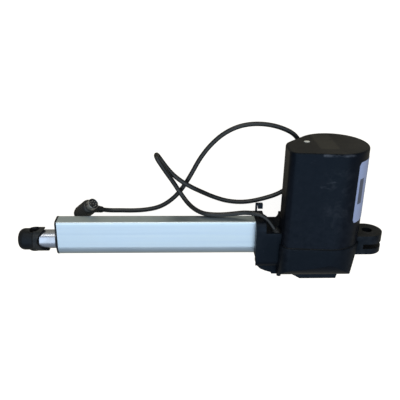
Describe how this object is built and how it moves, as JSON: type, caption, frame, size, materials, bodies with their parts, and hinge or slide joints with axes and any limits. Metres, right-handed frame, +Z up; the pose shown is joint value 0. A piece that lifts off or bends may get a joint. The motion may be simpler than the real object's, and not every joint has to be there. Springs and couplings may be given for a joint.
{
  "type": "linear actuator",
  "caption": "Electric linear actuator: motor in a black cover, worm-driven screw in an aluminium tube, sliding rod, clevis and eye mounts, cable with round plug.",
  "frame": {"origin": "centre of the rear clevis pin hole, on the rod's axis", "axes": "+X from the rod eye to the rear clevis along the rod's axis, +Y along both pin holes and the motor's axis towards the motor's end, +Z up from the surface the actuator lies on"},
  "size_m": [0.4293, 0.1796, 0.0842],
  "materials": {
    "housing_black": "moulded black nylon, fine texture",
    "cover_black": "moulded black, semi-gloss",
    "clevis_black": "moulded black nylon",
    "eye_black": "moulded black nylon, rubbed",
    "cap_black": "moulded black",
    "tube_anodised": "satin anodised extrusion",
    "rod_steel": "ground and plated",
    "spindle_steel": "rolled",
    "bearing_steel": "ground",
    "bracket_steel": "die cast",
    "motor_steel": "drawn can",
    "core_iron": "laminated",
    "magnet_iron": "sintered",
    "brush_carbon": "carbon",
    "copper": "enamelled copper",
    "bush_brass": "sintered bronze",
    "nut_brass": "turned",
    "pin_brass": "plated",
    "wheel_plastic": "cut acetal",
    "card_plastic": "board",
    "seal_rubber": "matt rubber",
    "gland_rubber": "matt rubber",
    "screw_steel": "blackened",
    "label_white": "printed film",
    "dot_white": "paint dot",
    "plug_black": "moulded PVC",
    "plug_metal": "nickel plated shell",
    "cable_black": "PVC sheath, satin"
  },
  "bodies": {
    "housing": {"gear_housing": "housing_black", "motor_cover": "cover_black", "base_cap": "housing_black", "outer_tube": "tube_anodised", "end_cap": "cap_black", "rod_wiper": "seal_rubber", "bearing_outer_ring": "bearing_steel", "bearing_block": "bracket_steel", "housing_gasket": "seal_rubber", "rear_clevis": "clevis_black", "motor_can": "motor_steel", "motor_magnets": "magnet_iron", "brushes": "brush_carbon", "brush_card": "card_plastic", "motor_flange": "motor_steel", "shaft_bushes": "bush_brass", "worm_support": "bracket_steel", "circuit_board": "card_plastic", "limit_switches": "card_plastic", "cable_gland": "gland_rubber", "cable_hook": "housing_black", "end_cap_screws": "screw_steel", "base_screws": "screw_steel", "bottom_stud": "housing_black", "cover_dot": "dot_white", "label": "label_white", "plug_body": "plug_black", "plug_neck": "plug_black", "plug_shell": "plug_metal", "plug_insert": "plug_black", "plug_pins": "pin_brass", "power_cable": "cable_black"},
    "rod": {"piston_rod": "rod_steel", "rod_eye": "eye_black", "spindle_nut": "nut_brass"},
    "screw": {"spindle": "spindle_steel", "worm_wheel": "wheel_plastic", "bearing_inner_ring": "bearing_steel", "bearing_balls": "bearing_steel"},
    "rotor": {"motor_shaft": "spindle_steel", "armature_core": "core_iron", "armature_windings": "copper", "commutator": "copper"}
  },
  "joints": [
    {"name": "rotor_spin", "type": "hinge", "parent": "housing", "child": "rotor", "pos_m": [-0.054, 0.06, -0.0165], "axis": [0, 1, 0], "range_deg": [0, 432000]},
    {"name": "screw_spin", "type": "hinge", "parent": "housing", "child": "screw", "pos_m": [-0.054, 0, 0], "axis": [1, 0, 0], "range_deg": [0, 18000]},
    {"name": "rod_slide", "type": "slide", "parent": "housing", "child": "rod", "axis": [-1, 0, 0], "range_m": [0, 0.2]}
  ],
  "couplings": [
    {"joint": "screw_spin", "follows": "rod_slide", "rad_per_m": 1570.8},
    {"joint": "rotor_spin", "follows": "rod_slide", "rad_per_m": 37699}
  ]
}
